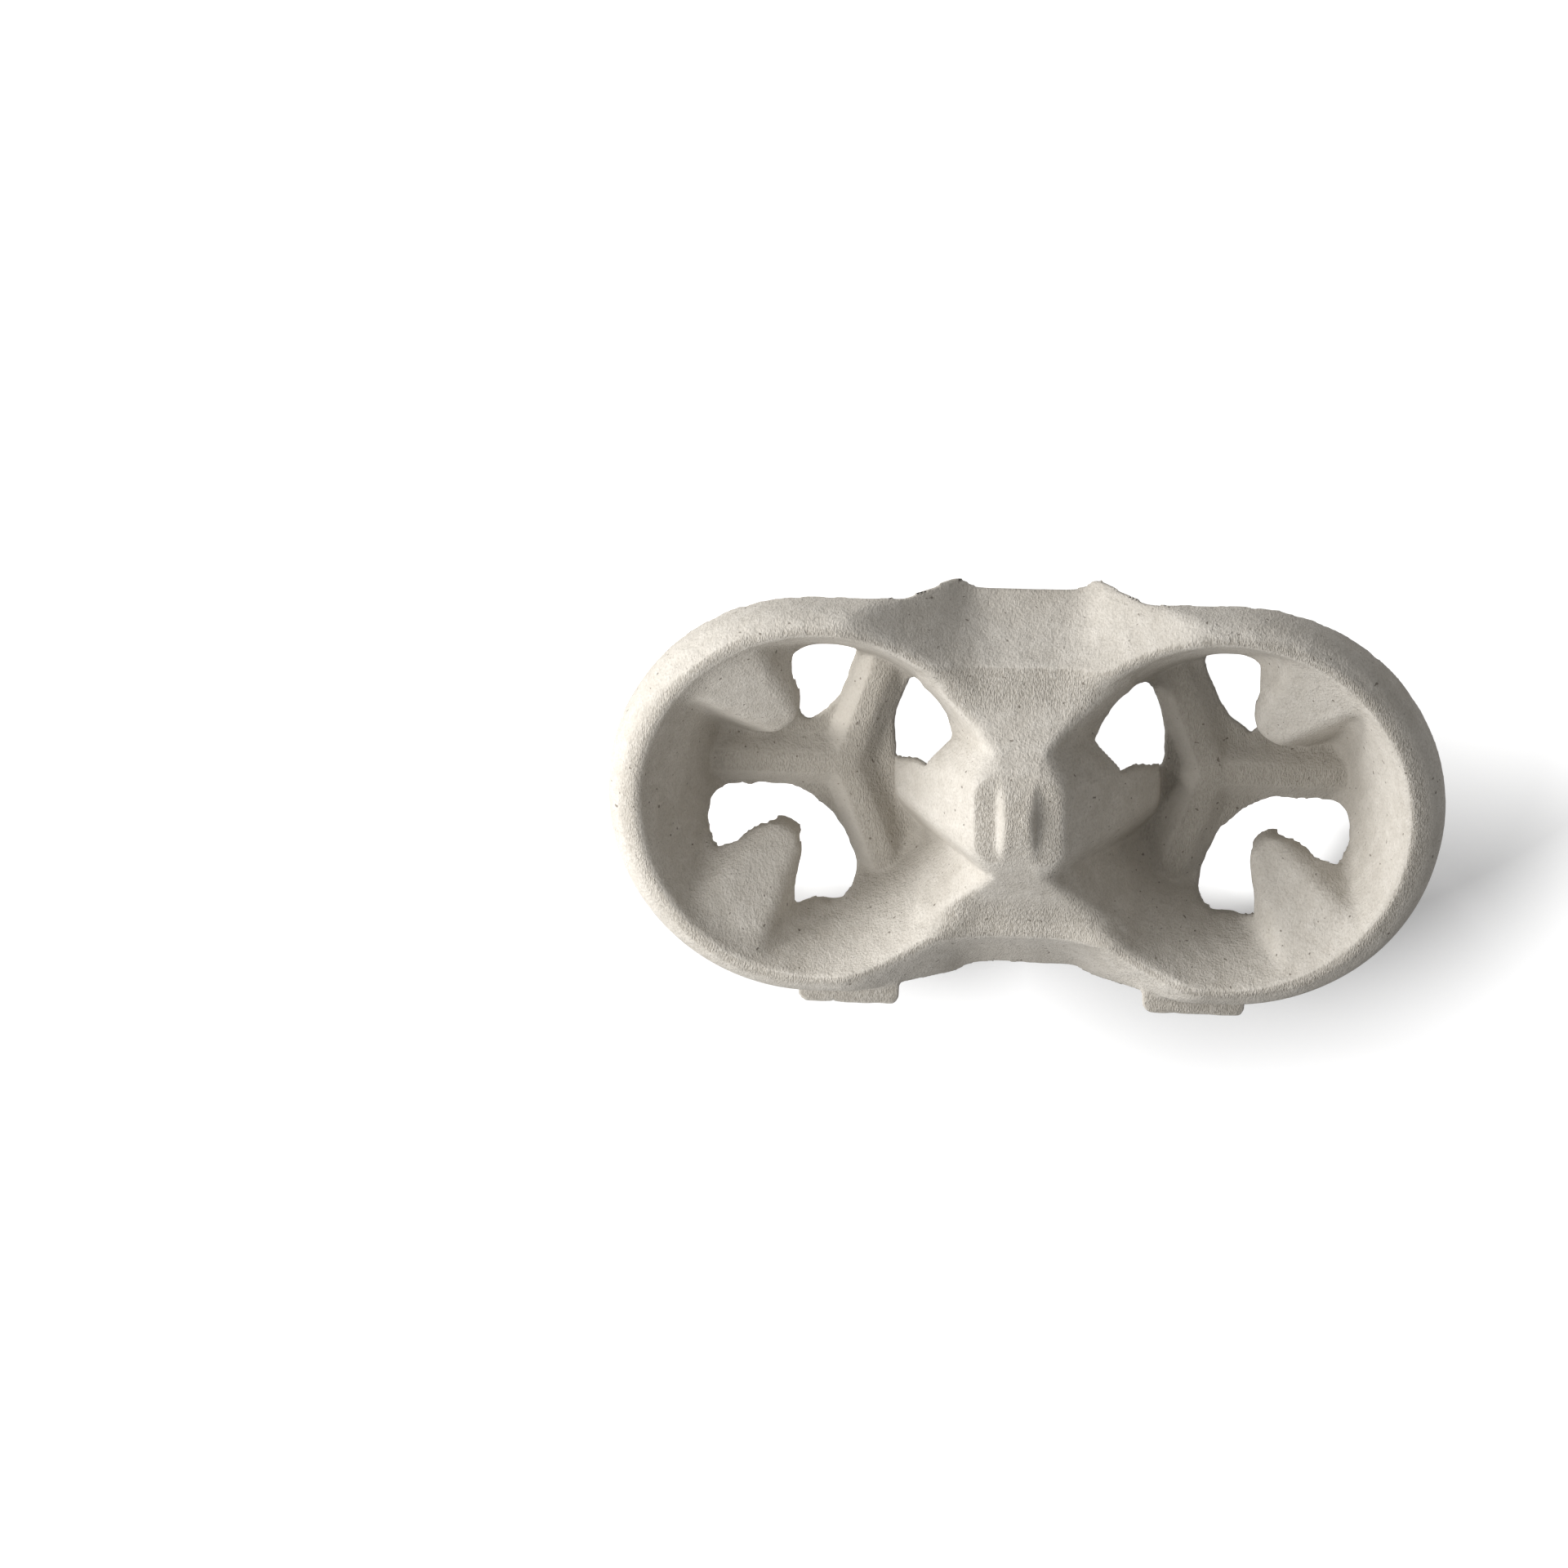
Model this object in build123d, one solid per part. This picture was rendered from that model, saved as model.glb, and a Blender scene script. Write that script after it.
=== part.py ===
from build123d import *
import os
from math import cos, hypot, radians, tan

# Moulded-fibre carrier for two cups, upright as it stands on a table: X along the length, Z up,
# with the origin on the table under the middle of its outline.

# Driving dimensions, in millimetres and degrees
WALL = 2.0                 # thickness of the fibre sheet

LENGTH = 210.0             # trimmed edge of the skirt, along X
WIDTH = 104.0              # trimmed edge of the skirt, along Y
RIM_HEIGHT = 42.0          # crest of the rim
SKIRT_DEPTH = 13.0         # from the crest down to the trimmed edge beside the wells
SKIRT_DRAFT = 8.0
CREST_WIDTH = 4.67         # from the inside of a well to the outside of the skirt, along the long sides
CREST_FILLET = 2.9
END_EXTRA = 3.0            # the crest is this much wider at the two ends
DIVIDER_WIDTH = 8.9        # least distance between the two wells at their rims
WELL_LEAN = 0.39           # sideways run of the well's wall for each unit of height
WELL_FLOOR_CHAMFER = 2.5

RIB_ANGLES = (0.0, 110.0, 250.0)   # from the outward direction of each well
RIB_TOP_WIDTH = 6.0
RIB_HEIGHT = 6.5           # top of the ribs
RIB_SIDE_RUN = 1.0         # sideways run of a rib's flank for each unit of height
RIB_BLEND = 8.0            # plan radius between two ribs
RIB_FOOT_WIDTH = 15.0      # between the openings on both sides of a rib
HUB_SHIFT = 3.0            # the ribs meet this far from the well's axis, towards the middle

CLAW_ANGLES = (58.0, 302.0)
CLAW_ROOT_WIDTH = 17.0     # flat top of a claw where it leaves the rim
CLAW_TIP_WIDTH = 5.0       # flat top of a claw at its tip
CLAW_ROOT_DROP = 3.0       # below the crest
CLAW_TIP_HEIGHT = 15.0
CLAW_TIP_RADIUS = 17.0     # from the well's axis to the tip
CLAW_SIDE_RUN = 0.6        # sideways run of a claw's flank for each unit of height
CLAW_FILLET = 2.5          # along the two upper edges of a claw

HUMP_RISE = 9.0            # the divider between the wells stands this far above the crest
HUMP_TOP_LENGTH = 16.0
HUMP_CROWN = 1.8           # rise of the arched top
LEAF_ROOT_RISE = 5.0       # the slope of the divider's own claws runs out this far above its top
LEAF_ROOT_WIDTH = 22.0
LEAF_TIP_HEIGHT = 13.0
LEAF_TIP_RADIUS = 16.0
STEP_START = 5.0           # level step let into each side of the divider, from the middle
STEP_DROP = 4.5            # below the divider's top
STEP_WIDTH = 24.0
STEP_DRAFT = 22.0

GUTTER_DROP = 9.0          # from the crest to the gutter across the middle of each long side
GUTTER_LEDGE = 8.5         # level stretch between the divider's foot and the gutter's lip
GUTTER_INSET = 16.0        # from the lip, where the gutter turns down, to the skirt
GUTTER_WIDTH = 28.0
GUTTER_REACH = 24.0        # from the lip to the mouth's own section
GUTTER_FALL = 1.65         # drop for each unit outward
GUTTER_FOOT_RISE = 5.0     # height of the lower part of the gutter's flank
GUTTER_FOOT_RUN = 1.3      # its sideways run for each unit of height
GUTTER_SIDE_RUN = 1.6      # the same above it
MOUTH_WIDTH = 32.0         # the same sizes where the gutter runs out through the skirt
MOUTH_FOOT_RISE = 12.6
MOUTH_FOOT_RUN = 0.03
MOUTH_SIDE_RUN = 0.86

MOUTH_TRIM_DROP = 17.0     # from the skirt's trimmed edge down to the one below the gutter
MOUTH_TRIM_HALF = 18.0     # from the middle to where the trimmed edge starts to climb
TRIM_SHOULDER = 31.5       # from the middle to where it is back at its full height
TRIM_SHOULDER_FILLET = 8.0
TRIM_INSET = 5.0           # the trimming tool works this far in from the skirt

FLOOR_PATTERN = 35.0       # radius that the ribs, claw tips and openings are drawn for; a tighter well shrinks them
OPENING_IN_WALL = 5.1      # the openings are punched this far into the lower wall of the well
OPENING_HEIGHT = 20.0      # above the punched edge
OPENING_HUB_CORNER = 10.0
OPENING_WALL_CORNER = 7.0
CLAW_FREE_HEIGHT = 10.5    # lower edge of a claw's tip
CLAW_RELIEF_WIDTH = 10.0   # tongue left between the two arms of an opening, at its tip
CLAW_RELIEF_RUN = 0.7
CLAW_RELIEF_CORNER = 4.5
CLAW_RELIEF_ROOT = 3.0     # plan radius where the tongue joins the wall

LIP_START = 31.0           # flat lips along one long side, from the middle
LIP_END = 57.0
LIP_OVERHANG = 6.0         # beyond the skirt
LIP_CORNER = 2.0

NEAR = 0.01                # two places closer than this are the same
BELOW = -1.0               # the underside is open, so its form starts below the table
HEADROOM = 10.0            # cutters run this far above the highest point

# Sizes that follow from these
TRIM_HEIGHT = RIM_HEIGHT - SKIRT_DEPTH
HUMP_HEIGHT = RIM_HEIGHT + HUMP_RISE
GUTTER_HEIGHT = RIM_HEIGHT - GUTTER_DROP
GUTTER_LIP = WIDTH / 2 - GUTTER_INSET
HUMP_FOOT = GUTTER_LIP - GUTTER_LEDGE
MOUTH_TRIM_HEIGHT = TRIM_HEIGHT - MOUTH_TRIM_DROP
CEILING = HUMP_HEIGHT + HEADROOM
CREST_SPAN = SKIRT_DEPTH * tan(radians(SKIRT_DRAFT)) + CREST_WIDTH
WIDE_RADIUS = WIDTH / 2 - CREST_SPAN
LONG_RADIUS = (LENGTH / 2 - CREST_SPAN - END_EXTRA - DIVIDER_WIDTH / 2) / 2
WELL_RIM_RADIUS = min(WIDE_RADIUS, LONG_RADIUS)
WELL_SPACING = LENGTH - 2 * (WELL_RIM_RADIUS + CREST_SPAN + END_EXTRA)
WELL_FLOOR_RADIUS = WELL_RIM_RADIUS - WELL_LEAN * (RIM_HEIGHT - WALL)
OPENING_RADIUS = WELL_FLOOR_RADIUS + OPENING_IN_WALL
FIT = min(1.0, OPENING_RADIUS / FLOOR_PATTERN)
LIP_REACH = WIDTH / 2 + LIP_OVERHANG


def both_wells(shape):
    """The shape made for a well on the +X side, and its twin on the -X side."""
    placed = Pos(WELL_SPACING / 2, 0, 0) * shape
    return placed + mirror(placed, about=Plane.YZ)


def skirt(skin):
    """The rounded block whose outside is the skirt."""
    bottom = BELOW if skin else 0.0
    draft = radians(SKIRT_DRAFT)
    half = WIDTH / 2 + (TRIM_HEIGHT - bottom) * tan(draft) - skin / cos(draft)
    outline = SlotOverall(LENGTH - WIDTH + 2 * half, 2 * half)
    return extrude(Pos(0, 0, bottom) * outline, amount=RIM_HEIGHT - skin - bottom, taper=SKIRT_DRAFT)


def well(skin):
    """The tapered pocket that holds a cup."""
    grow = skin * hypot(1, WELL_LEAN)
    floor = WALL - skin
    foot = WELL_FLOOR_RADIUS + grow - WELL_LEAN * skin
    rim = WELL_RIM_RADIUS + grow
    side = Polyline((0, floor), (foot, floor), (rim, RIM_HEIGHT), (rim, CEILING), (0, CEILING), close=True)
    profile = make_face(side)
    if not skin:
        corner = profile.vertices().sort_by_distance((foot, floor))[0]
        profile = chamfer(corner, WELL_FLOOR_CHAMFER)
    return revolve(Plane.XZ * profile, Axis.Z)


def ribs(skin):
    """Three hat-section ribs that meet at a hub on the floor of a well."""
    flank = skin * (hypot(1, RIB_SIDE_RUN) - RIB_SIDE_RUN)
    top = FIT * RIB_TOP_WIDTH - 2 * flank
    reach = WELL_RIM_RADIUS
    bar = Pos(reach / 2, 0) * Rectangle(reach, top)
    plan = Sketch() + [Rot(0, 0, angle) * bar for angle in RIB_ANGLES]
    inner = plan.vertices().filter_by(lambda v: v.center().length < reach / 2)
    plan = fillet(inner, FIT * RIB_BLEND + flank)
    height = RIB_HEIGHT - WALL / 2
    taper = -Vector(0, 1).get_angle(Vector(RIB_SIDE_RUN, 1))
    solid = extrude(plan, amount=height, dir=(0, 0, -1), taper=taper)
    return Pos(-FIT * HUB_SHIFT, 0, RIB_HEIGHT - skin) * solid


def claw(skin, root_height, root_width, tip_radius, tip_height):
    """A tongue that slopes from the rim down to a tip near the well's axis, along +X from that axis."""
    root_radius = WELL_RIM_RADIUS
    tip_radius = FIT * tip_radius
    span = root_radius - tip_radius
    fall = (root_height - tip_height) / span
    narrow = (root_width - CLAW_TIP_WIDTH) / 2 / span
    drop = skin * hypot(1, fall)
    flank = skin * hypot(1, CLAW_SIDE_RUN, narrow + CLAW_SIDE_RUN * fall) - CLAW_SIDE_RUN * drop

    def section(radius):
        top = tip_height + fall * (radius - tip_radius) - drop
        half = CLAW_TIP_WIDTH / 2 + narrow * (radius - tip_radius) - flank
        spread = half + CLAW_SIDE_RUN * top
        return [(radius, -spread, 0), (radius, -half, top), (radius, half, top), (radius, spread, 0)]

    tip = section(tip_radius + skin)
    root = section(root_radius)
    sides = [(tip[k - 1], tip[k], root[k], root[k - 1]) for k in range(len(tip))]
    faces = [make_face(Polyline(*corners, close=True)).face() for corners in (tip, root, *sides)]
    tongue = Solid(Shell(faces))
    if skin:
        return tongue
    ridges = tongue.edges().filter_by(lambda edge: edge.length > span).group_by(Axis.Z)[-1]
    return fillet(ridges, CLAW_FILLET)


def gutter(skin):
    """The channel that lets the rim dip in the middle of the +Y side and falls away outward."""
    turn = GUTTER_LIP - skin * (hypot(1, GUTTER_FALL) - 1) / GUTTER_FALL
    outside = GUTTER_LIP + GUTTER_REACH

    def section(distance, floor, width, rise, low, high):
        low_skin = skin * hypot(1, low)
        high_skin = skin * hypot(1, high)
        foot = width / 2
        knee_shift = (low_skin - high_skin) / (high - low)
        knee = foot + low * (rise + knee_shift) + low_skin
        brim = foot + low * rise + high * (CEILING - floor - rise) + high_skin
        toe = foot - low * skin + low_skin
        right = [(toe, floor - skin), (knee, floor + rise + knee_shift), (brim, CEILING)]
        left = [(-x, z) for x, z in reversed(right)]
        return Plane.XZ.offset(-distance) * make_face(Polyline(*right, *left, close=True))

    lip = section(turn, GUTTER_HEIGHT, GUTTER_WIDTH, GUTTER_FOOT_RISE, GUTTER_FOOT_RUN, GUTTER_SIDE_RUN)
    channel = extrude(lip, amount=turn, dir=(0, -1, 0))
    floor = GUTTER_HEIGHT - (outside - turn) * GUTTER_FALL
    mouth = section(outside, floor, MOUTH_WIDTH, MOUTH_FOOT_RISE, MOUTH_FOOT_RUN, MOUTH_SIDE_RUN)
    return channel + loft([lip, mouth], ruled=True)


def roof(skin):
    """The divider's long section, drawn across the carrier and run along X."""
    top = HUMP_TOP_LENGTH / 2
    foot = HUMP_FOOT
    crown = HUMP_HEIGHT - HUMP_CROWN
    arch = ThreePointArc((-top, crown), (0, HUMP_HEIGHT), (top, crown))
    right = [(top, crown), (foot, GUTTER_HEIGHT), (foot, WALL)]
    left = [(-y, z) for y, z in reversed(right)]
    profile = make_face([arch, Polyline(*right, *left)])
    if skin:
        profile = offset(profile, amount=-skin)
    return extrude(Plane.YZ * profile, amount=WELL_SPACING / 2, both=True)


def step(skin):
    """What the level step takes off the divider on the +X side."""
    draft = radians(STEP_DRAFT)
    floor = HUMP_HEIGHT - STEP_DROP - skin
    grow = skin / cos(draft) - skin * tan(draft)
    near = STEP_START - grow
    far = WELL_SPACING / 2
    plan = Pos((near + far) / 2, 0) * Rectangle(far - near, STEP_WIDTH + 2 * grow)
    return extrude(Pos(0, 0, floor) * plan, amount=CEILING - floor, taper=-STEP_DRAFT)


def form(skin):
    """Everything under the upper face of the sheet, or under that face sunk by the given skin."""
    wells = both_wells(well(skin))
    body = skirt(skin) - wells
    if not skin:
        crest = body.faces().sort_by(Axis.Z)[-1].edges()
        body = fillet(crest, CREST_FILLET)
    channel = gutter(skin)
    body = body - channel - mirror(channel, about=Plane.XZ)
    top = roof(skin)
    narrow = Box(WELL_SPACING / 2, WIDTH, 2 * CEILING)
    body = body + ((top & narrow) - wells)
    arm = claw(skin, RIM_HEIGHT - CLAW_ROOT_DROP, CLAW_ROOT_WIDTH, CLAW_TIP_RADIUS, CLAW_TIP_HEIGHT)
    leaf = claw(skin, HUMP_HEIGHT + LEAF_ROOT_RISE, LEAF_ROOT_WIDTH, LEAF_TIP_RADIUS, LEAF_TIP_HEIGHT)
    tongues = [Rot(0, 0, angle) * arm for angle in CLAW_ANGLES]
    tongues.append(Rot(0, 0, 180) * leaf & Pos(-WELL_SPACING / 2, 0, 0) * top)
    inside = well(skin + WALL)
    for tongue in tongues:
        body = body + both_wells(tongue & inside)
    ledge = step(skin)
    body = body - ledge - mirror(ledge, about=Plane.YZ)
    return body + both_wells(ribs(skin) & inside)


def skirt_trim():
    """What is cut from the skirt below its trimmed edge, which dips under each gutter."""
    far = LENGTH
    climb = [(MOUTH_TRIM_HALF, MOUTH_TRIM_HEIGHT), (TRIM_SHOULDER, TRIM_HEIGHT)]
    right = [*climb, (far, TRIM_HEIGHT), (far, 2 * BELOW)]
    left = [(-x, z) for x, z in reversed(right)]
    side = make_face(Polyline(*left, *right, close=True))
    shoulders = side.vertices().filter_by(lambda v: abs(v.X) == TRIM_SHOULDER)
    side = fillet(shoulders, TRIM_SHOULDER_FILLET)
    below = extrude(Plane.XZ * side, amount=WIDTH, both=True)
    keep = WIDTH / 2 - TRIM_INSET
    kept = SlotOverall(LENGTH - WIDTH + 2 * keep, 2 * keep)
    return below - extrude(kept, amount=CEILING, both=True)


def at_wall(sketch):
    """The vertices of a plan of openings that lie on its outer circle."""
    return sketch.vertices().filter_by(lambda v: abs(v.center().length - OPENING_RADIUS / FIT) < NEAR)


def openings():
    """The openings punched between the ribs of a well, which run round the tips of the claws."""
    bar = Pos(WELL_SPACING / 2, 0) * Rectangle(WELL_SPACING, RIB_FOOT_WIDTH)
    hub = [Pos(-HUB_SHIFT, 0) * Rot(0, 0, angle) * bar for angle in RIB_ANGLES]
    sectors = Circle(OPENING_RADIUS / FIT) - hub
    corners = sectors.vertices().sort_by(lambda v: v.center().length)
    sectors = fillet(corners[: len(RIB_ANGLES)], OPENING_HUB_CORNER)
    sectors = fillet(at_wall(sectors), OPENING_WALL_CORNER)
    root = OPENING_RADIUS / FIT + WALL
    tip = CLAW_TIP_RADIUS - WALL / 2
    half = CLAW_RELIEF_WIDTH / 2
    spread = half + CLAW_RELIEF_RUN * (root - tip) / 2
    tongue = make_face(Polyline((tip, -half), (tip, half), (root, spread), (root, -spread), close=True))
    tongue = fillet(tongue.vertices().group_by(Axis.X)[0], CLAW_RELIEF_CORNER)
    arms = sectors - [Rot(0, 0, angle) * tongue for angle in (*CLAW_ANGLES, 180)]
    straight_ends = [edge @ end for edge in arms.edges().filter_by(GeomType.LINE) for end in (0, 1)]
    joins = [v for v in at_wall(arms) if min((v.center() - end).length for end in straight_ends) < NEAR]
    arms = fillet(joins, CLAW_RELIEF_ROOT)
    sectors = scale(sectors, by=FIT)
    arms = scale(arms, by=FIT)
    low = extrude(Pos(0, 0, 2 * BELOW) * sectors, amount=CLAW_FREE_HEIGHT - 2 * BELOW)
    high = extrude(Pos(0, 0, CLAW_FREE_HEIGHT / 2) * arms, amount=OPENING_HEIGHT - CLAW_FREE_HEIGHT / 2)
    return low + high


def lips():
    """The flat lips that stand out at the trimmed edge of the -Y side."""
    inner = WIDTH / 2 - WALL / 2
    plan = Rectangle(LIP_END - LIP_START, LIP_REACH - inner)
    plan = fillet(plan.vertices().group_by(Axis.Y)[0], LIP_CORNER)
    plan = Pos((LIP_START + LIP_END) / 2, -(LIP_REACH + inner) / 2) * plan
    lip = extrude(Pos(0, 0, TRIM_HEIGHT) * plan, amount=WALL)
    return lip + mirror(lip, about=Plane.YZ)


def carrier():
    body = form(0.0) - form(WALL)
    body = body - skirt_trim() - both_wells(openings())
    body = body + lips()
    return Pos(0, -body.bounding_box().center().Y, 0) * body


if __name__ == "__main__":
    os.makedirs("parts", exist_ok=True)
    whole = carrier()
    export_step(whole, "parts/carrier.step")
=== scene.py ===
from math import atan, cos, radians, sin, sqrt, tan

import bpy
import numpy as np
from mathutils import Euler, Matrix, Vector


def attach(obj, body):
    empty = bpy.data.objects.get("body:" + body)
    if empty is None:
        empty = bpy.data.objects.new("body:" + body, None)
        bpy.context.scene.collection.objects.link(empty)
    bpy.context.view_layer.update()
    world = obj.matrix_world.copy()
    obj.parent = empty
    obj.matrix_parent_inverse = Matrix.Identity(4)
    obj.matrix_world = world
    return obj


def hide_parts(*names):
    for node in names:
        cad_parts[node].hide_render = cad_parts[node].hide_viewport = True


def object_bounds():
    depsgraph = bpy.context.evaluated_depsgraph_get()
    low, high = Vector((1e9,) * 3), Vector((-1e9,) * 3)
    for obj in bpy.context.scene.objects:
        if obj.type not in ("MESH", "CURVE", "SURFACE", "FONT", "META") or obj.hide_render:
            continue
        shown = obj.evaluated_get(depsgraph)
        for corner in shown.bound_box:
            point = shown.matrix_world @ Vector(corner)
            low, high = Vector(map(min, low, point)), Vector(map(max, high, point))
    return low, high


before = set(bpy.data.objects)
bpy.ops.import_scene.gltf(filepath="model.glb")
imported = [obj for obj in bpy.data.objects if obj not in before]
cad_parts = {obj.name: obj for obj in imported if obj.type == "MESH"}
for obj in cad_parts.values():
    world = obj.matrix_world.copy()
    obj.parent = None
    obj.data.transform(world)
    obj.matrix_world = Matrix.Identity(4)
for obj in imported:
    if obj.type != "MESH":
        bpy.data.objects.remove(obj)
cad_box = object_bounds()

# Sizes of the carrier in millimetres and degrees. The two wells are mirror images of each other.
# The long sides differ by the lips on the -Y side and by the openings beside the claws.
# A roll is the length over which an edge is rounded.
MM = 0.001
WALL = 2.0
LENGTH, WIDTH = 210.0, 104.0
RIM_HEIGHT, TRIM_HEIGHT = 42.0, 29.0
SKIRT_DRAFT = 8.0
CREST_OUTER_ROLL, CREST_INNER_ROLL = 5.0, 1.8
CREST_START, CREST_FALL = 44.0, 0.3    # the crest falls off outward from this distance

WELL_SPACING = 100.0
WELL_RIM_RADIUS, WELL_FLOOR_RADIUS = 45.5, 29.9
FLOOR_ROLL = 6.0

RIB_ANGLES = (0.0, 110.0, 250.0)       # from the outward direction of each well
RIB_TOP_WIDTH, RIB_HEIGHT, RIB_SIDE_RUN = 5.0, 6.8, 1.0
RIB_FOOT_WIDTH = 15.0
RIB_ROLL = 0.9
HUB_SHIFT = 3.0                        # the ribs meet this far from the well's axis

CLAW_ANGLE = 54.0
CLAW_ROOT_WIDTH, CLAW_TIP_WIDTH = 23.0, 7.0
CLAW_ROOT_DROP, CLAW_TIP_HEIGHT, CLAW_TIP_RADIUS = 3.0, 18.0, 17.0
CLAW_SIDE_RUN = 0.6
CLAW_ROLL, CLAW_JOIN_ROLL = 2.0, 2.5

# The divider between the wells, its own claws, which are called leaves, and the steps in its sides
HUMP_HEIGHT, HUMP_TOP_LENGTH, HUMP_FOOT_LENGTH = 51.0, 16.0, 55.0
HUMP_CROWN, HUMP_CROWN_ROLL = 1.8, 9.0
HUMP_ROLL, HUMP_JOIN_ROLL = 2.5, 4.0
LEAF_ROOT_HEIGHT, LEAF_ROOT_WIDTH, LEAF_TIP_WIDTH = 56.0, 22.0, 10.0
LEAF_TIP_HEIGHT, LEAF_TIP_RADIUS, LEAF_JOIN_ROLL = 13.0, 16.0, 0.4
STEP_START, STEP_DROP, STEP_WIDTH, STEP_DRAFT, STEP_ROLL = 5.0, 4.5, 24.0, 22.0, 1.2

# The gutters. A pair gives a size at the gutter's lip and at its mouth.
GUTTER_HEIGHT, GUTTER_LIP, GUTTER_REACH, GUTTER_FALL = 33.0, 36.0, 24.0, 1.65
KNEE_HALF, KNEE_HEIGHT = (20.5, 16.4), (38.0, 6.0)    # the bend in the gutter's flank
FOOT_RUN, SIDE_RUN = (1.3, 0.03), (1.6, 0.86)         # sideways run below and above that bend
GUTTER_ROLL, GUTTER_LIP_ROLL = (6.0, 1.0), 0.7
GUTTER_FOOT_ROLL, KNEE_ROLL = (4.0, 0.8), (4.0, 0.8)

MOUTH_TRIM_HEIGHT, MOUTH_TRIM_HALF, TRIM_SHOULDER, TRIM_INSET = 13.5, 18.0, 31.5, 5.0
TRIM_FOOT_ROLL, TRIM_SHOULDER_ROLL = 3.0, 6.0

OPENING_RADIUS, OPENING_HEIGHT, LEAF_OPENING_HEIGHT = 35.0, 20.0, 25.0
OPENING_HUB_CORNER, OPENING_WALL_CORNER = 12.0, 8.0
CLAW_FREE_HEIGHT = 10.5
CLAW_RELIEF, LEAF_RELIEF = (10.0, 0.7), (13.0, 0.0)   # width at the tip and its growth outward
RELIEF_TIP_CORNER, RELIEF_CORNER = 9.0, 4.0
CLOSED = WIDTH                         # field value where nothing is opened

LIP_START, LIP_END, LIP_REACH, LIP_WEAR = 31.0, 57.0, 58.0, 1.5
LIP_CORNER, LIP_EDGE_ROLL, LIP_JOIN_ROLL = 3.0, 1.0, 1.5

# How the fibre sheet is meshed, worn and torn
GRID = 0.8                             # spacing of the field samples
MARGIN = 3.0
TRIANGLES = 190000
STEEPNESS = (0.5, 2.0)                 # range in which the field is brought to true distances
FACE_ROLL, CUT_ROLL = 0.5, 0.6
SEED = 7
SKIRT_SEED, OPENING_SEED, LIP_SEED, SAG_SEED = 1, 3, 5, 6
WAVES = 24                             # sine waves in one random ripple
WAVE_SPREAD, WAVE_PEAK = (0.6, 1.6), 1.6
TEAR = 0.2                             # height of the ragged torn edges
# Lengths of the long and the short waves in a torn edge, and the share of the short ones
SKIRT_TEAR, OPENING_TEAR = (9.0, 3.0, 0.5), (8.0, 2.6, 0.6)
LIP_WAVE, SAG_WAVE = 5.0, 70.0
SAG = 0.35                             # unevenness of the whole sheet

# The frame's origin is under the middle of the outline, the wells' axes are further from the lips
AXIS_Y = LIP_REACH + cad_box[0][1] / MM


def smooth_max(a, b, roll):
    """The larger of two fields, with the edge between them rounded over the given length."""
    near = np.maximum(roll - np.abs(a - b), 0.0)
    return np.maximum(a, b) + near * near / (4 * roll)


def smooth_min(a, b, roll):
    """The smaller of two fields, rounded in the same way."""
    return -smooth_max(-a, -b, roll)


def ripple(x, y, wavelength, seed):
    """Random smooth waves over the plan, mostly between -1 and 1."""
    rng = np.random.default_rng(SEED + seed)
    total = 0.0
    for _ in range(WAVES):
        heading = rng.uniform(0, 2 * np.pi)
        pitch = 2 * np.pi / (wavelength * rng.uniform(*WAVE_SPREAD))
        phase = rng.uniform(0, 2 * np.pi)
        total = total + np.sin(pitch * (np.cos(heading) * x + np.sin(heading) * y) + phase)
    return total / sqrt(WAVES / 2) / WAVE_PEAK


def torn_edge(x, y, tear, seed):
    """Unevenness of a torn edge, from long waves and short ones."""
    long, short, share = tear
    return TEAR * (ripple(x, y, long, seed) + share * ripple(x, y, short, seed + 1))


def turned(x, y, angle):
    """Distances along and across a direction in the plan."""
    c, s = cos(radians(angle)), sin(radians(angle))
    return x * c + y * s, y * c - x * s


def from_spine(along, y):
    """Distance in the plan from the line between the middles of the outline's two round ends."""
    return np.hypot(np.maximum(along - (LENGTH - WIDTH) / 2, 0.0), y)


def from_rib(out, y, angle):
    """Distance in the plan from the middle line of a rib, which starts at the hub."""
    u, t = turned(out + HUB_SHIFT, y, angle)
    return np.hypot(t, np.minimum(u, 0.0))


def tongue(u, t, z, root_height, root_width, tip_width, tip_radius, tip_height):
    """A claw that slopes from the rim to its tip, u from the well's axis and t across."""
    span = WELL_RIM_RADIUS - tip_radius
    fall = (root_height - tip_height) / span
    narrow = (root_width - tip_width) / 2 / span
    ridge = tip_height + fall * (u - tip_radius)
    top = (z - ridge) / sqrt(1 + fall**2)
    spread = tip_width / 2 + narrow * (u - tip_radius) + CLAW_SIDE_RUN * (ridge - z)
    steep = sqrt(1 + CLAW_SIDE_RUN**2 + (narrow + CLAW_SIDE_RUN * fall) ** 2)
    flank = (np.abs(t) - spread) / steep
    return smooth_max(smooth_max(top, flank, CLAW_ROLL), tip_radius - u, CLAW_ROLL)


def from_lip(across, pair):
    """A size that changes from the gutter's lip to its mouth."""
    share = np.clip((across - GUTTER_LIP) / GUTTER_REACH, 0.0, 1.0)
    return pair[0] + (pair[1] - pair[0]) * share


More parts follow.
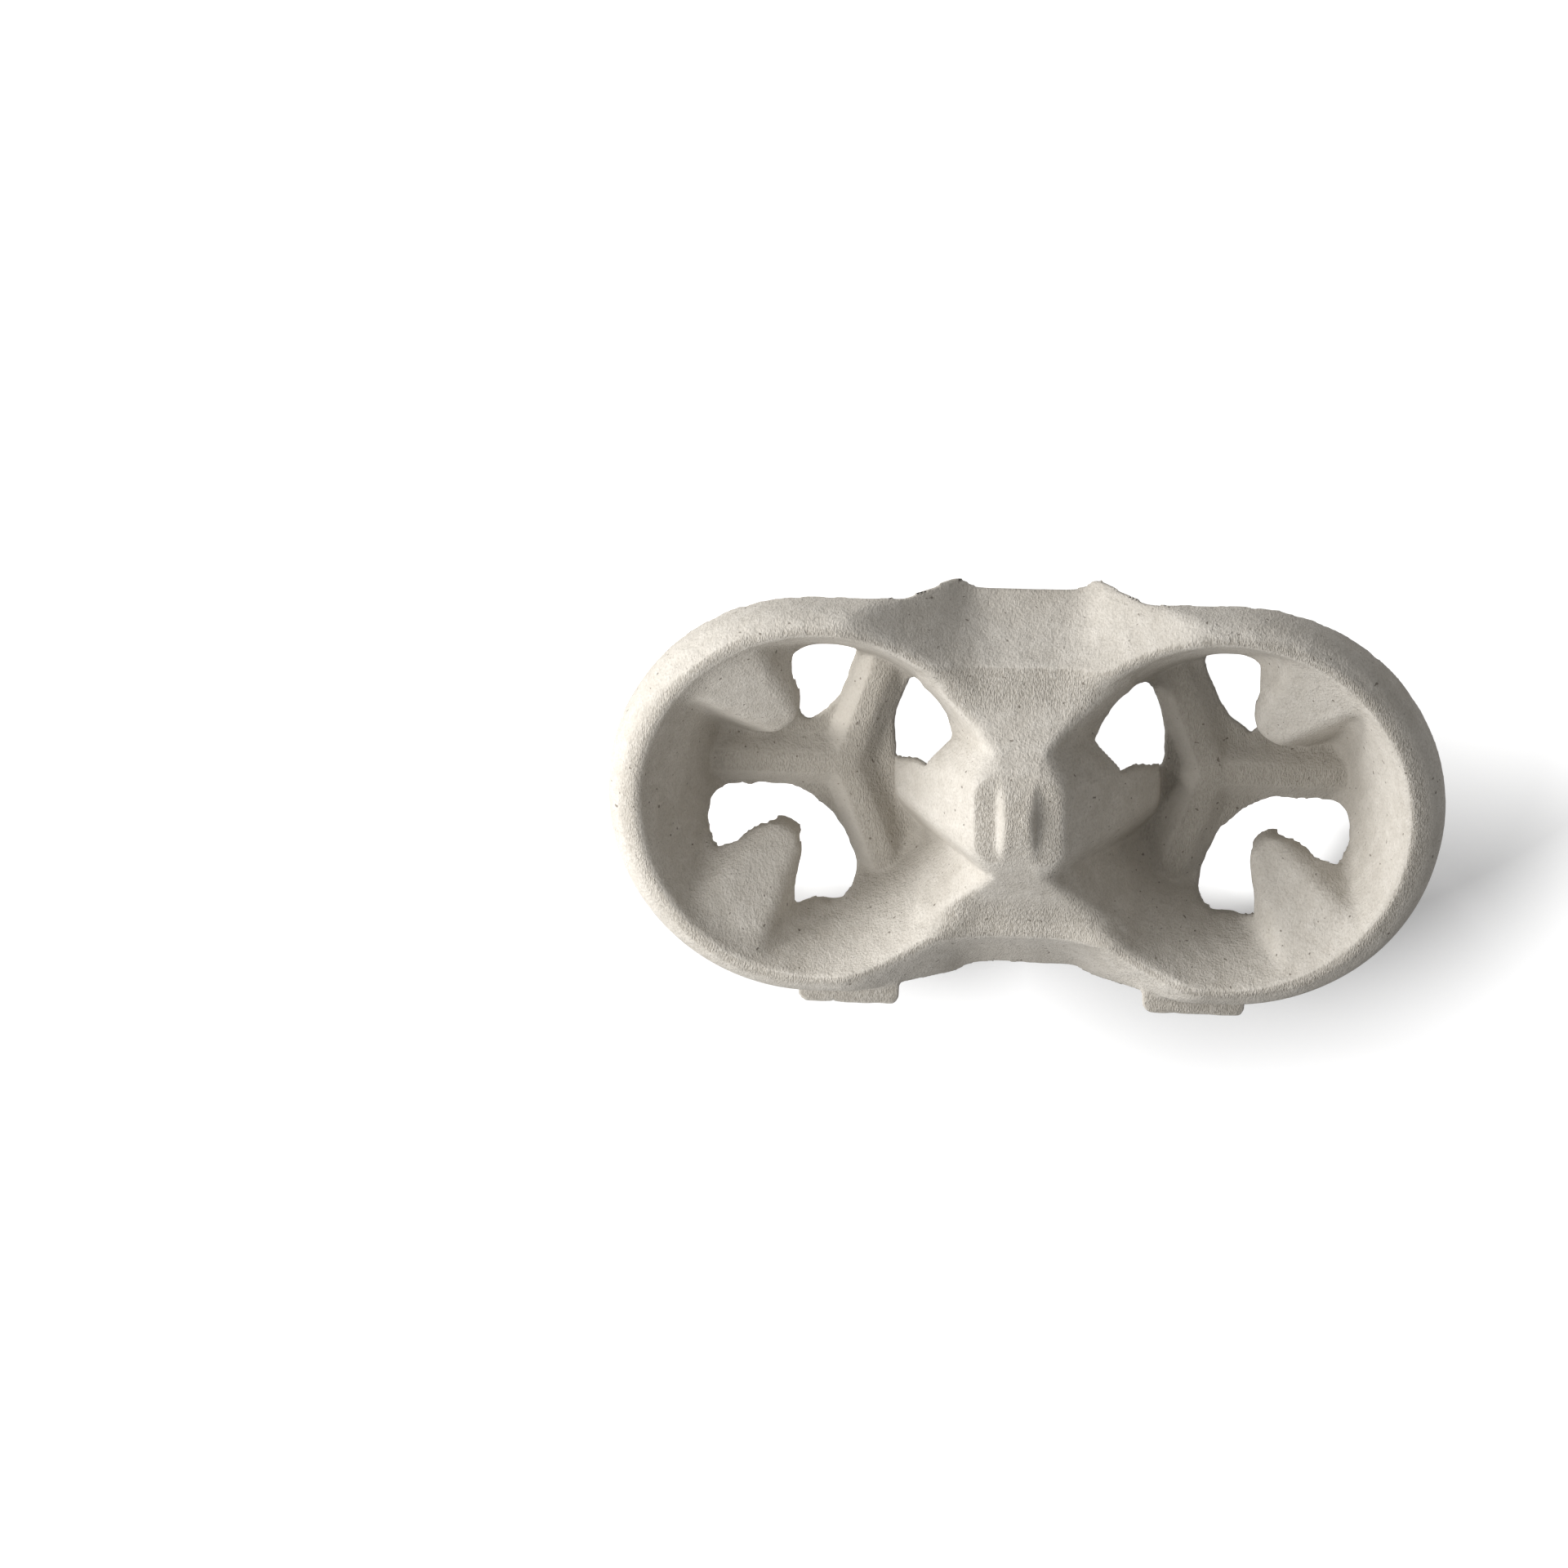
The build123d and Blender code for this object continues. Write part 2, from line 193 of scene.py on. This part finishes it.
def gutter_ground(along, across, z):
    """Field of what lies under and beside the gutter across a long side, negative in the solid."""
    slope = (z - GUTTER_HEIGHT + (across - GUTTER_LIP) * GUTTER_FALL) / sqrt(1 + GUTTER_FALL**2)
    under = smooth_max(z - GUTTER_HEIGHT, slope, GUTTER_LIP_ROLL)
    rise = z - from_lip(across, KNEE_HEIGHT)
    foot_run, side_run = from_lip(across, FOOT_RUN), from_lip(across, SIDE_RUN)
    bend = smooth_max(foot_run * rise, side_run * rise, from_lip(across, KNEE_ROLL))
    half = from_lip(across, KNEE_HALF) + bend
    beside = (half - along) / np.sqrt(1 + side_run**2)
    return smooth_min(under, beside, from_lip(across, GUTTER_FOOT_ROLL))


def steps(along, across, z):
    """Field of what the level steps take off both sides of the divider."""
    floor = HUMP_HEIGHT - STEP_DROP
    draft = radians(STEP_DRAFT)
    spread = tan(draft) * (z - floor)
    back = (STEP_START - spread - along) * cos(draft)
    sides = (across - STEP_WIDTH / 2 - spread) * cos(draft)
    return smooth_max(smooth_max(back, sides, STEP_ROLL), floor - z, STEP_ROLL)


def form(x, y, z):
    """Field of everything under the sheet's upper face, negative in the solid."""
    along, across = np.abs(x), np.abs(y)
    slot = from_spine(along, y)
    draft = radians(SKIRT_DRAFT)
    skirt = (slot - WIDTH / 2 - (TRIM_HEIGHT - z) * tan(draft)) * cos(draft)
    fall = CREST_FALL * np.maximum(slot - CREST_START, 0.0)
    crest = (z - RIM_HEIGHT + fall) / sqrt(1 + CREST_FALL**2)
    body = smooth_max(skirt, crest, CREST_OUTER_ROLL)

    out = along - WELL_SPACING / 2
    radius = np.hypot(out, y)
    lean = (WELL_RIM_RADIUS - WELL_FLOOR_RADIUS) / (RIM_HEIGHT - WALL)
    taper = np.minimum(z - RIM_HEIGHT, 0.0) * lean
    wall = (radius - WELL_RIM_RADIUS - taper) * cos(atan(lean))
    pocket = smooth_max(wall, WALL - z, FLOOR_ROLL)
    body = smooth_max(body, -pocket, CREST_INNER_ROLL)
    body = smooth_max(body, gutter_ground(along, across, z), from_lip(across, GUTTER_ROLL))

    top, foot = HUMP_TOP_LENGTH / 2, HUMP_FOOT_LENGTH / 2
    run, drop = foot - top, HUMP_HEIGHT - HUMP_CROWN - GUTTER_HEIGHT
    slope = ((z - GUTTER_HEIGHT) * run + (across - foot) * drop) / sqrt(run**2 + drop**2)
    roof = smooth_max(z - HUMP_HEIGHT, slope, HUMP_CROWN_ROLL)
    hump = np.maximum(smooth_max(roof, -pocket, HUMP_ROLL), along - WELL_SPACING / 4)
    body = smooth_min(body, hump, HUMP_JOIN_ROLL)

    inside = wall - WALL
    u, t = turned(out, across, CLAW_ANGLE)
    claw = tongue(u, t, z, RIM_HEIGHT - CLAW_ROOT_DROP, CLAW_ROOT_WIDTH, CLAW_TIP_WIDTH,
                  CLAW_TIP_RADIUS, CLAW_TIP_HEIGHT)
    body = smooth_min(body, np.maximum(claw, inside), CLAW_JOIN_ROLL)
    leaf = tongue(-out, y, z, LEAF_ROOT_HEIGHT, LEAF_ROOT_WIDTH, LEAF_TIP_WIDTH,
                  LEAF_TIP_RADIUS, LEAF_TIP_HEIGHT)
    leaf = np.maximum(smooth_max(leaf, roof, HUMP_ROLL), inside)
    body = smooth_min(body, leaf, LEAF_JOIN_ROLL)
    body = smooth_max(body, -steps(along, across, z), STEP_ROLL)

    for angle in RIB_ANGLES:
        width = from_rib(out, y, angle) - RIB_TOP_WIDTH / 2
        flank = (width - RIB_SIDE_RUN * (RIB_HEIGHT - z)) / sqrt(1 + RIB_SIDE_RUN**2)
        rib = np.maximum(smooth_max(z - RIB_HEIGHT, flank, RIB_ROLL), inside)
        body = smooth_min(body, rib, RIB_ROLL)
    return body


def torn_skirt(x, y, z):
    """Field of what is trimmed off below the edge of the skirt, negative where it is gone."""
    along = np.abs(x)
    climb = (TRIM_HEIGHT - MOUTH_TRIM_HEIGHT) / (TRIM_SHOULDER - MOUTH_TRIM_HALF)
    climbing = MOUTH_TRIM_HEIGHT + climb * (along - MOUTH_TRIM_HALF)
    edge = smooth_max(MOUTH_TRIM_HEIGHT, climbing, TRIM_FOOT_ROLL)
    edge = smooth_min(edge, TRIM_HEIGHT, TRIM_SHOULDER_ROLL)
    ragged = torn_edge(x, y, SKIRT_TEAR, SKIRT_SEED)
    keep = from_spine(along, y) - (WIDTH / 2 - TRIM_INSET)
    return np.maximum(z - edge - ragged, -keep)


def torn_openings(x, y, z):
    """Field of the openings between the ribs, negative where the sheet is gone.

    They run round the claws. Two places stay closed, because no gap shows there: beside the leaf on
    the -Y side, and between the claw and the outer rib on the +Y side.
    """
    out = np.abs(x) - WELL_SPACING / 2
    hub = np.full_like(out + y, np.inf)
    for angle in RIB_ANGLES:
        foot = from_rib(out, y, angle) - RIB_FOOT_WIDTH / 2
        hub = smooth_min(hub, foot, OPENING_HUB_CORNER)
    ragged = torn_edge(x, y, OPENING_TEAR, OPENING_SEED)
    sector = smooth_max(-hub, np.hypot(out, y) - OPENING_RADIUS, OPENING_WALL_CORNER) + ragged

    arms = sector
    tip = CLAW_TIP_RADIUS - WALL / 2
    reliefs = ((360 - CLAW_ANGLE, CLAW_RELIEF), (180, LEAF_RELIEF), (CLAW_ANGLE, CLAW_RELIEF))
    for angle, (width, growth) in reliefs:
        u, t = turned(out, y, angle)
        half = width / 2 + growth / 2 * (u - tip)
        relief = smooth_max(np.abs(t) - half, tip - u, RELIEF_TIP_CORNER)
        arms = smooth_max(arms, -relief - ragged / 2, RELIEF_CORNER)

    low = np.maximum(sector, z - CLAW_FREE_HEIGHT - ragged)
    towards_leaf = out < -HUB_SHIFT - LEAF_RELIEF[0] / 2
    top = np.where(towards_leaf, LEAF_OPENING_HEIGHT, OPENING_HEIGHT)
    opening = np.minimum(low, np.maximum(arms, z - top))

    past_rib = turned(out + HUB_SHIFT, y, RIB_ANGLES[2])[1]
    beside_leaf = (y < 0) & (past_rib < 0)
    from_axis, past_claw = turned(out, y, CLAW_ANGLE)
    beside_claw = (y > 0) & (past_claw < 0) & (from_axis > 0)
    return np.where(beside_leaf | beside_claw, CLOSED, opening)


def lips(x, y, z):
    """Field of the flat lips on the -Y side."""
    ragged = TEAR * ripple(x, y, LIP_WAVE, LIP_SEED)
    ends = np.abs(np.abs(x) - (LIP_START + LIP_END) / 2) - (LIP_END - LIP_START) / 2
    reach = -y - LIP_REACH + LIP_WEAR + ragged
    back = y + WIDTH / 2 - WALL
    thick = np.abs(z - TRIM_HEIGHT - WALL / 2) - WALL / 2
    plan = smooth_max(smooth_max(ends, reach, LIP_CORNER), back, LIP_EDGE_ROLL)
    return smooth_max(plan, thick, LIP_EDGE_ROLL)


def sheet(x, y, z):
    """Field of the fibre sheet itself: negative in the pulp, in millimetres near its faces."""
    z = z + SAG * ripple(x, y, SAG_WAVE, SAG_SEED)
    level = form(x, y, z)
    slopes = np.gradient(level, GRID)
    level = level / np.clip(np.sqrt(sum(slope * slope for slope in slopes)), *STEEPNESS)
    pulp = smooth_max(level, -level - WALL, FACE_ROLL)
    pulp = smooth_max(pulp, -torn_skirt(x, y, z), CUT_ROLL)
    pulp = smooth_max(pulp, -torn_openings(x, y, z), CUT_ROLL)
    return smooth_min(pulp, lips(x, y, z), LIP_JOIN_ROLL)


def surface_net(field, origin, step):
    """Vertices and quads of the field's zero surface, one vertex in each cell that it crosses."""
    solid = field < 0
    corners = [np.array(c) for c in np.ndindex(2, 2, 2)]
    shape = np.array(field.shape) - 1
    count = 0
    for corner in corners:
        block = tuple(slice(a, a + n) for a, n in zip(corner, shape))
        count = count + solid[block].astype(np.int8)
    cells = np.argwhere((count > 0) & (count < len(corners)))
    values = np.stack([field[tuple((cells + corner).T)] for corner in corners])
    total, hits = np.zeros(cells.shape), np.zeros(len(cells))
    for a, near in enumerate(corners):
        for b, far in enumerate(corners):
            if b > a and (far - near).sum() == 1 and (far >= near).all():
                cut = (values[a] < 0) != (values[b] < 0)
                share = np.where(cut, values[a] / np.where(cut, values[a] - values[b], 1.0), 0.0)
                total += cut[:, None] * (near + share[:, None] * (far - near))
                hits += cut
    vertices = origin + (cells + total / hits[:, None]) * step

    number = np.full(shape, -1)
    number[tuple(cells.T)] = np.arange(len(cells))
    quads = []
    one = np.eye(3, dtype=int)
    for axis in range(3):
        ahead, right, up = one[axis], one[(axis + 1) % 3], one[(axis + 2) % 3]
        inner = [slice(1, n - 1) for n in field.shape]
        start, stop = list(inner), list(inner)
        start[axis], stop[axis] = slice(0, -1), slice(1, None)
        before, after = solid[tuple(start)], solid[tuple(stop)]
        for leaving in (True, False):
            edges = np.argwhere(before & ~after if leaving else ~before & after)
            edges = edges + 1 - ahead
            ring = [edges - right - up, edges - up, edges, edges - right]
            ids = np.stack([number[tuple(cell.T)] for cell in ring], axis=1)
            quads.append(ids if leaving else ids[:, ::-1])
    return vertices, np.concatenate(quads)


def mesh_object(name, vertices, quads):
    """An object in the scene with the given vertices and quads."""
    mesh = bpy.data.meshes.new(name)
    mesh.vertices.add(len(vertices))
    mesh.vertices.foreach_set("co", vertices.astype(np.float32).ravel())
    mesh.loops.add(quads.size)
    mesh.loops.foreach_set("vertex_index", quads.astype(np.int32).ravel())
    mesh.polygons.add(len(quads))
    starts = np.arange(0, quads.size, quads.shape[1], dtype=np.int32)
    mesh.polygons.foreach_set("loop_start", starts)
    mesh.update(calc_edges=True)
    mesh.validate()
    obj = bpy.data.objects.new(name, mesh)
    bpy.context.scene.collection.objects.link(obj)
    return obj


def build_carrier():
    """The carrier as one sheet of moulded pulp, meshed from its field."""
    low = np.array([c / MM for c in cad_box[0]]) - MARGIN
    high = np.array([c / MM for c in cad_box[1]]) + MARGIN
    axes = [np.arange(a, b, GRID) for a, b in zip(low, high)]
    x, y, z = np.ix_(*axes)
    field = sheet(x, y - AXIS_Y, z)
    vertices, quads = surface_net(field, low, GRID)
    obj = mesh_object("carrier_pulp", vertices * MM, quads)
    fewer = obj.modifiers.new("fewer", "DECIMATE")
    fewer.ratio = min(1.0, TRIANGLES / (2 * len(quads)))
    with bpy.context.temp_override(object=obj):
        bpy.ops.object.modifier_apply(modifier=fewer.name)
    obj.data.shade_smooth()
    return obj


carrier = build_carrier()


# Materials: colours first
WHITE = (1, 1, 1, 1)
PULP_DARK, PULP_LIGHT = (0.54, 0.505, 0.45, 1), (0.62, 0.585, 0.53, 1)
# The darkest pulp colour serves the grain, and also painted shade on level faces and low in the
# wells.
PULP_PALE, PULP_GRAIN_AND_SHADE = (0.70, 0.665, 0.61, 1), (0.34, 0.31, 0.265, 1)
PULP_SPECK = (0.12, 0.10, 0.08, 1)
FLOOR_WHITE = (0.72, 0.72, 0.72, 1)

# Grain sizes of the pulp's patterns, in metres
CLOUD_SIZE, MOTTLE_SIZE, GRAIN_SIZE, SPECK_SIZE = 0.022, 0.004, 0.0007, 0.0012
STREAK_SIZE, STREAK_STRETCH = 0.0003, (1, 3.0, 3.0)

# Ramps: the values between which a colour comes in, and its shares at both ends
CLOUD_RAMP = (0.3, 0.7, 0.0, 1.0)
MOTTLE_RAMP = (0.35, 0.75, 0.0, 0.5)
GRAIN_RAMP = (0.55, 0.25, 0.0, 0.35)
STREAK_RAMP = (0.66, 0.34, 0.25, 0.8)
SPECK_RAMP = (0.79, 0.85, 0.0, 0.7)
LEVEL_STIPPLE_AND_SHADE_RAMP = (0.8, 0.98, 0.3, 1.0)     # by how far a face looks up: level faces take the stipple and painted shade
DEPTH_SHADE_RAMP = (0.004, 0.026, 0.6, 0.0)  # painted shade, darker low in the wells, by height in metres

STREAK_RELIEF, GRAIN_RELIEF, MOTTLE_RELIEF = 0.7, 0.5, 1.0
BUMP_STRENGTH, BUMP_DEPTH = 0.9, 0.0006
PULP_ROUGHNESS, PULP_SPECULAR = 0.95, 0.1

# The table's glow towards the camera under the wells, near the carrier, and far from it or behind
# it. Under the wells and behind the carrier it is painted light over the carrier's shade.
GLOW_UNDER, GLOW_NEAR, GLOW_FAR = 0.95, 0.15, 0.95
FAR_RADIUS = 3 * WELL_RIM_RADIUS
BEHIND_START, BEHIND_END = -0.5 * WIDTH, 0.3 * WIDTH

# Places of the colour sockets in Blender's mix node
MIX_SHARE, MIX_A, MIX_B, MIX_RESULT = 0, 6, 7, 2


def node(tree, kind, **inputs):
    """A shader node with constants or links set on the named or numbered sockets."""
    made = tree.nodes.new(kind)
    for name, value in inputs.items():
        socket = made.inputs[int(name[1:]) if name[1:].isdigit() else name.replace("_", " ")]
        if isinstance(value, bpy.types.NodeSocket):
            tree.links.new(value, socket)
        else:
            socket.default_value = value
    return made


def maths(tree, operation, a, b=0.0):
    """The result of a sum on two values."""
    made = node(tree, "ShaderNodeMath", i0=a, i1=b)
    made.operation = operation
    return made.outputs[0]


def noise(tree, place, size, detail=3.0, stretch=(1, 1, 1)):
    """Noise with grains of about the given size in metres, drawn out along the axes by stretch."""
    scaled = node(tree, "ShaderNodeVectorMath", i0=place, i1=[1 / size / s for s in stretch])
    scaled.operation = "MULTIPLY"
    made = node(tree, "ShaderNodeTexNoise", Vector=scaled.outputs[0], Scale=1.0, Detail=detail)
    return made.outputs[0]


def ramp(tree, value, low, high, start, end):
    """A smooth change from start to end while the value goes from low to high."""
    made = node(tree, "ShaderNodeMapRange", Value=value, i1=low, i2=high, i3=start, i4=end)
    made.interpolation_type = "SMOOTHSTEP"
    return made.outputs[0]


def blend(tree, share, a, b):
    """Colour a, with the given share of colour b."""
    made = tree.nodes.new("ShaderNodeMix")
    made.data_type = "RGBA"
    for socket, value in ((MIX_SHARE, share), (MIX_A, a), (MIX_B, b)):
        if isinstance(value, bpy.types.NodeSocket):
            tree.links.new(value, made.inputs[socket])
        else:
            made.inputs[socket].default_value = value
    return made.outputs[MIX_RESULT]


def new_material(name):
    """An empty material and its node tree."""
    material = bpy.data.materials.new(name)
    material.use_nodes = True
    material.node_tree.nodes.clear()
    return material, material.node_tree


def pulp_material():
    """Grey-beige fibre: clouded, mottled and specked; level faces stippled by the mould's screen
    and darkened with painted shade, and low parts darkened with painted shade.
    """
    material, tree = new_material("pulp")
    place = tree.nodes.new("ShaderNodeTexCoord").outputs["Object"]
    facing = tree.nodes.new("ShaderNodeNewGeometry").outputs["Normal"]
    normal = node(tree, "ShaderNodeSeparateXYZ", Vector=facing)
    level = ramp(tree, normal.outputs["Z"], *LEVEL_STIPPLE_AND_SHADE_RAMP)
    height = node(tree, "ShaderNodeSeparateXYZ", Vector=place).outputs["Z"]
    low = ramp(tree, height, *DEPTH_SHADE_RAMP)
    clouds = noise(tree, place, CLOUD_SIZE)
    mottle = noise(tree, place, MOTTLE_SIZE)
    grain = noise(tree, place, GRAIN_SIZE)
    streak = noise(tree, place, STREAK_SIZE, detail=1.0, stretch=STREAK_STRETCH)
    speck = noise(tree, place, SPECK_SIZE, detail=0.0)

    colour = blend(tree, ramp(tree, clouds, *CLOUD_RAMP), PULP_DARK, PULP_LIGHT)
    colour = blend(tree, ramp(tree, mottle, *MOTTLE_RAMP), colour, PULP_PALE)
    colour = blend(tree, ramp(tree, grain, *GRAIN_RAMP), colour, PULP_GRAIN_AND_SHADE)
    # Level faces are darkened: partly the screen's stipple, partly painted shade.
    stipple_and_level_shade = maths(tree, "MULTIPLY", ramp(tree, streak, *STREAK_RAMP), level)
    colour = blend(tree, stipple_and_level_shade, colour, PULP_GRAIN_AND_SHADE)
    # Painted shade: the low parts in the wells are darkened towards the darkest pulp colour.
    colour = blend(tree, low, colour, PULP_GRAIN_AND_SHADE)
    colour = blend(tree, ramp(tree, speck, *SPECK_RAMP), colour, PULP_SPECK)

    stippled = maths(tree, "MULTIPLY", streak, level)
    relief = maths(tree, "MULTIPLY", stippled, STREAK_RELIEF)
    relief = maths(tree, "ADD", relief, maths(tree, "MULTIPLY", grain, GRAIN_RELIEF))
    relief = maths(tree, "ADD", relief, maths(tree, "MULTIPLY", mottle, MOTTLE_RELIEF))
    bump = node(tree, "ShaderNodeBump", Strength=BUMP_STRENGTH, Distance=BUMP_DEPTH, Height=relief)
    shader = node(tree, "ShaderNodeBsdfPrincipled", Base_Color=colour, Roughness=PULP_ROUGHNESS,
                  Normal=bump.outputs[0], Specular_IOR_Level=PULP_SPECULAR)
    tree.links.new(shader.outputs[0], node(tree, "ShaderNodeOutputMaterial").inputs[0])
    return material


def floor_material():
    """White table that also glows towards the camera, least near the carrier in front, where its
    shadow stays. The glow under the wells and behind the carrier is painted light over the
    carrier's shade.
    """
    material, tree = new_material("floor")
    spot = tree.nodes.new("ShaderNodeTexCoord").outputs["Object"]
    place = node(tree, "ShaderNodeSeparateXYZ", Vector=spot)
    along = maths(tree, "ABSOLUTE", place.outputs["X"])
    along = maths(tree, "SUBTRACT", along, WELL_SPACING / 2 * MM)
    across = maths(tree, "SUBTRACT", place.outputs["Y"], AXIS_Y * MM)
    squares = [maths(tree, "POWER", side, 2.0) for side in (along, across)]
    radius = maths(tree, "SQRT", maths(tree, "ADD", *squares))
    rim = WELL_RIM_RADIUS * MM
    # Painted light: the table glows fully under the wells, where the carrier's shade would show
    # through its openings.
    under = ramp(tree, radius, WELL_FLOOR_RADIUS * MM, rim, GLOW_UNDER, GLOW_NEAR)
    far = ramp(tree, radius, rim, FAR_RADIUS * MM, GLOW_NEAR, GLOW_FAR)
    # Painted light behind the carrier, over the table's shade on that side.
    behind = ramp(tree, across, BEHIND_START * MM, BEHIND_END * MM, GLOW_NEAR, GLOW_FAR)
    glowing = maths(tree, "MAXIMUM", maths(tree, "MAXIMUM", under, far), behind)
    path = tree.nodes.new("ShaderNodeLightPath").outputs
    seen = maths(tree, "MAXIMUM", path["Is Camera Ray"], path["Is Glossy Ray"])
    seen = maths(tree, "MAXIMUM", seen, path["Is Transmission Ray"])
    strength = maths(tree, "MULTIPLY", seen, glowing)
    glow = node(tree, "ShaderNodeEmission", Color=WHITE, Strength=strength)
    diffuse = node(tree, "ShaderNodeBsdfDiffuse", Color=FLOOR_WHITE)
    both = node(tree, "ShaderNodeAddShader", i0=diffuse.outputs[0], i1=glow.outputs[0])
    tree.links.new(both.outputs[0], node(tree, "ShaderNodeOutputMaterial").inputs[0])
    return material


carrier.data.materials.append(pulp_material())
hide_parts("carrier")
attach(carrier, "root")

# The white table that it stands on, with its size in metres
FLOOR_HALF = 3.0
corners = np.array([(-1, -1, 0), (1, -1, 0), (1, 1, 0), (-1, 1, 0)]) * FLOOR_HALF
floor = mesh_object("floor", corners, np.array([[0, 1, 2, 3]]))
floor.data.materials.append(floor_material())

# Light: a low lamp at the left and a little behind, a soft one above, and a white room.
# Distances and lamp sizes are in metres, powers in watts.
KEY_FROM, KEY_DISTANCE = (-0.865, 0.42, 0.26), 1.0
KEY_POWER, KEY_SIZE = 8.0, 0.4
FILL_FROM, FILL_DISTANCE = (-0.62, -0.1, 0.75), 0.45
FILL_POWER, FILL_SIZE = 1.5, 0.3
ROOM = 0.3


def lamp(name, towards, distance, power, size):
    """A round lamp that shines on the carrier from the given direction."""
    made = bpy.data.objects.new(name, bpy.data.lights.new(name, "AREA"))
    made.location = Vector(towards).normalized() * distance
    made.rotation_euler = (-Vector(towards)).to_track_quat("-Z", "Y").to_euler()
    made.data.shape = "DISK"
    made.data.size = size
    made.data.energy = power
    made.visible_camera = False
    bpy.context.scene.collection.objects.link(made)


world = bpy.data.worlds.new("world")
bpy.context.scene.world = world
world.use_nodes = True
background = world.node_tree.nodes["Background"]
background.inputs["Color"].default_value = WHITE
background.inputs["Strength"].default_value = ROOM

lamp("key", KEY_FROM, KEY_DISTANCE, KEY_POWER, KEY_SIZE)
lamp("fill", FILL_FROM, FILL_DISTANCE, FILL_POWER, FILL_SIZE)

# Camera: turned about the carrier, then moved to where the carrier sits in the picture
SENSOR = 36.0
PICTURE = 1920                         # side of the photograph in pixels
FOCAL_PIXELS = 4745.0
TILT, YAW, ROLL = 20.0, -6.5, -1.65
SHIFT_RIGHT, SHIFT_UP, DISTANCE = 63.2, 6.1, 1000.0

turn = Euler((radians(TILT), radians(YAW), radians(ROLL)), "XYZ").to_matrix().to_4x4()
to_axis = Matrix.Translation((0, -AXIS_Y * MM, 0))
to_view = Matrix.Translation((SHIFT_RIGHT * MM, SHIFT_UP * MM, -DISTANCE * MM))
camera = bpy.data.objects.new("camera", bpy.data.cameras.new("camera"))
camera.data.sensor_width = SENSOR
camera.data.lens = FOCAL_PIXELS / PICTURE * SENSOR
camera.matrix_world = (to_view @ turn @ to_axis).inverted()
bpy.context.scene.collection.objects.link(camera)
bpy.context.scene.camera = camera

bpy.context.scene.view_settings.view_transform = "Standard"
